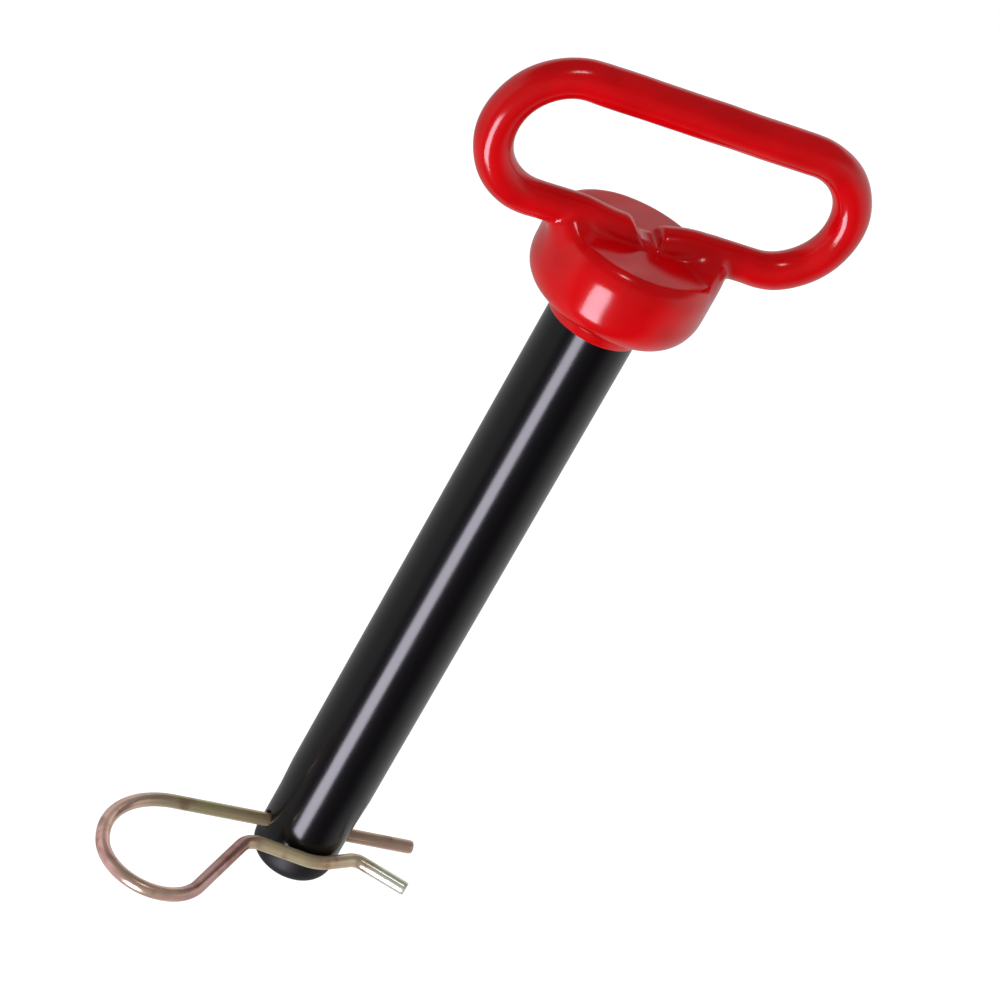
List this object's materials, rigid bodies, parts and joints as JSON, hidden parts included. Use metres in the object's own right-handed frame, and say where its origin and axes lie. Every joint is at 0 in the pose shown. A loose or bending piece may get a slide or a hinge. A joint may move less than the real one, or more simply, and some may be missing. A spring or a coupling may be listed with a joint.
{
  "type": "hitch pin",
  "caption": "Round hitch pin with a forged head, a coated loop handle across it and a spring-wire hairpin clip through its cross hole.",
  "frame": {"origin": "on the pin's axis, at the lower edge of the grip coating, where the bare shank begins", "axes": "+Z along the pin from its tip to the handle; X along the handle's bars; the clip's bow lies towards -X and -Y"},
  "size_m": [0.1084, 0.0615, 0.2383],
  "materials": {
    "black_coated_steel": "gloss black electro-coat on forged steel",
    "handle_steel": "cold-drawn round rod",
    "weld_metal": "fillet weld beads as laid",
    "red_dip_coating": "glossy dipped vinyl",
    "zinc_wire": "spring wire with yellow chromated zinc"
  },
  "bodies": {
    "pin": {"forged_pin": "black_coated_steel", "handle_rod": "handle_steel", "weld_left_front": "weld_metal", "weld_left_back": "weld_metal", "weld_right_front": "weld_metal", "weld_right_back": "weld_metal", "grip_coating": "red_dip_coating"},
    "clip": {"clip_straight_leg": "zinc_wire", "clip_bow": "zinc_wire"},
    "clip_arm": {"clip_spring_leg": "zinc_wire"}
  },
  "joints": [
    {"name": "clip_pull", "type": "slide", "parent": "pin", "child": "clip", "axis": [-0.9986, -0.0523, 0], "range_m": [0, 0.048]},
    {"name": "clip_spread", "type": "hinge", "parent": "clip", "child": "clip_arm", "pos_m": [-0.05719, -0.02817, -0.1644], "axis": [0, 0, -1], "range_deg": [0, 6], "stiffness_Nm_per_rad": 2, "deforming": ["clip_spring_leg"]}
  ]
}
